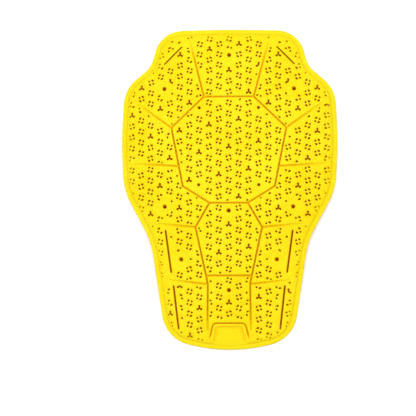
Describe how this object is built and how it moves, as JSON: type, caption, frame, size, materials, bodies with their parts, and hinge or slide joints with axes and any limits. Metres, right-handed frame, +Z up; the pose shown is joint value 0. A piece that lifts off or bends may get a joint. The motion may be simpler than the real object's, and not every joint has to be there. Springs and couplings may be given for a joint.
{
  "type": "soft back protector pad for a sports or riding jacket",
  "caption": "Bright yellow one-piece foam rubber back protector pad with grooved plates, vent holes and flex slots, lying with its plates up.",
  "frame": {"origin": "on the surface it rests on, under the middle of the pad's outline", "axes": "+X across the back, towards the right of the picture; +Y along the spine towards the neck edge; +Z up, out of the plates"},
  "size_m": [0.2534, 0.3758, 0.0332],
  "materials": {
    "foam": "matte, fine-pored moulded skin"
  },
  "bodies": {
    "root": {"protector_pad": "foam"}
  },
  "joints": []
}
